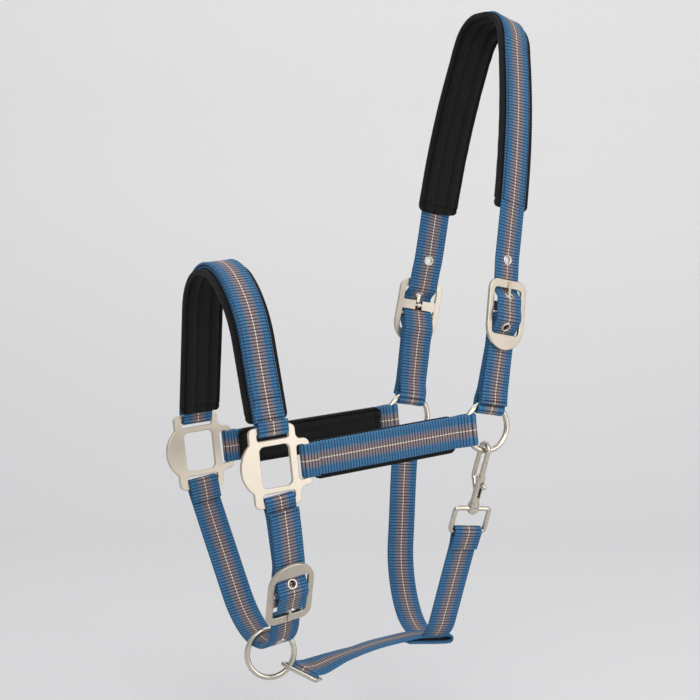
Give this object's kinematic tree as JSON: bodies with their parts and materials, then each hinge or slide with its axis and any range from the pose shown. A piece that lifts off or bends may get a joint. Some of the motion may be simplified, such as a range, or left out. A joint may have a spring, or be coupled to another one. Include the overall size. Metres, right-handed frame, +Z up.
{
  "type": "head halter",
  "caption": "Horse head collar of webbing with padded noseband and crown, cast cheek plates, welded rings, buckles and a bolt snap at the throat.",
  "frame": {"origin": "half way between the centres of the two side rings, on the hinge line of the crown", "axes": "-X towards the nose, -Y towards the horse's left side, +Z up"},
  "size_m": [0.2849, 0.1562, 0.532],
  "materials": {
    "webbing": "ribbed nylon webbing",
    "neoprene": "matte cloth-faced neoprene",
    "cast_nickel": "satin nickel plated casting",
    "wire_nickel": "satin nickel plated wire",
    "eyelet_nickel": "rolled nickel eyelet",
    "spring_steel": "plain spring wire"
  },
  "bodies": {
    "head_front": {"cheek_overlay_left": "webbing", "cheek_overlay_right": "webbing", "cheek_padding_left": "neoprene", "cheek_padding_right": "neoprene", "cheek_plate_left": "cast_nickel", "cheek_plate_right": "cast_nickel", "cheek_webbing_left": "webbing", "cheek_webbing_right": "webbing", "chin_buckle_frame": "cast_nickel", "chin_buckle_strap": "webbing", "chin_eyelets": "eyelet_nickel", "chin_strap": "webbing", "jaw_strap": "webbing", "noseband_overlay": "webbing", "noseband_padding": "neoprene", "noseband_webbing": "webbing", "snap_eye": "wire_nickel", "throat_strap": "webbing"},
    "crown": {"buckle_strap_left": "webbing", "buckle_strap_right": "webbing", "crown_buckle_frame_left": "cast_nickel", "crown_buckle_frame_right": "cast_nickel", "crown_eyelets_left": "eyelet_nickel", "crown_eyelets_right": "eyelet_nickel", "crown_padding": "neoprene", "crown_webbing": "webbing"},
    "ring_left": {"side_ring_left": "wire_nickel"},
    "ring_right": {"side_ring_right": "wire_nickel"},
    "lead_ring": {"chin_ring": "wire_nickel"},
    "tongue_left": {"crown_buckle_tongue_left": "wire_nickel"},
    "tongue_right": {"crown_buckle_tongue_right": "wire_nickel"},
    "tongue_chin": {"chin_buckle_tongue": "wire_nickel"},
    "snap": {"snap_hook": "wire_nickel", "snap_spring": "spring_steel", "swivel_rivet": "wire_nickel"},
    "bolt": {"snap_bolt": "wire_nickel"},
    "link": {"jaw_link": "wire_nickel"}
  },
  "joints": [
    {"name": "crown_swing", "type": "hinge", "parent": "head_front", "child": "crown", "pos_m": [0, 0, 0], "axis": [0, 1, 0], "range_deg": [-10, 25]},
    {"name": "ring_left_spin", "type": "hinge", "parent": "head_front", "child": "ring_left", "pos_m": [0, -0.062, 0], "axis": [0, 1, 0], "continuous": true},
    {"name": "ring_right_spin", "type": "hinge", "parent": "head_front", "child": "ring_right", "pos_m": [0, 0.062, 0], "axis": [0, 1, 0], "continuous": true},
    {"name": "lead_ring_spin", "type": "hinge", "parent": "head_front", "child": "lead_ring", "pos_m": [-0.15973, -0.0035, -0.17411], "axis": [-0.1873, -0.9816, -0.0364], "continuous": true},
    {"name": "tongue_left_lift", "type": "hinge", "parent": "crown", "child": "tongue_left", "pos_m": [0.0136, -0.06854, 0.09324], "axis": [0.9754, 0.1558, -0.1561], "range_deg": [0, 1.2]},
    {"name": "tongue_right_lift", "type": "hinge", "parent": "crown", "child": "tongue_right", "pos_m": [0.0136, 0.06854, 0.09324], "axis": [-0.9754, 0.1558, 0.1561], "range_deg": [0, 1.2]},
    {"name": "tongue_chin_lift", "type": "hinge", "parent": "head_front", "child": "tongue_chin", "pos_m": [-0.1698, -0.05738, -0.12232], "axis": [-0.9816, 0, -0.1908], "range_deg": [0, 1.2]},
    {"name": "snap_swivel", "type": "hinge", "parent": "head_front", "child": "snap", "pos_m": [-0.00512, -0.0504, -0.0651], "axis": [0.0737, -0.342, 0.9368], "range_deg": [-12, 12]},
    {"name": "bolt_slide", "type": "slide", "parent": "snap", "child": "bolt", "axis": [0.0737, -0.342, 0.9368], "range_m": [-0.008, 0], "stiffness_N_per_m": 250, "springref_m": 0.004, "deforming": ["snap_spring"]},
    {"name": "link_pivot", "type": "hinge", "parent": "head_front", "child": "link", "pos_m": [-0.13223, -0.00581, -0.1904], "axis": [0.6182, -0.6987, -0.36], "range_deg": [-6, 2]}
  ]
}
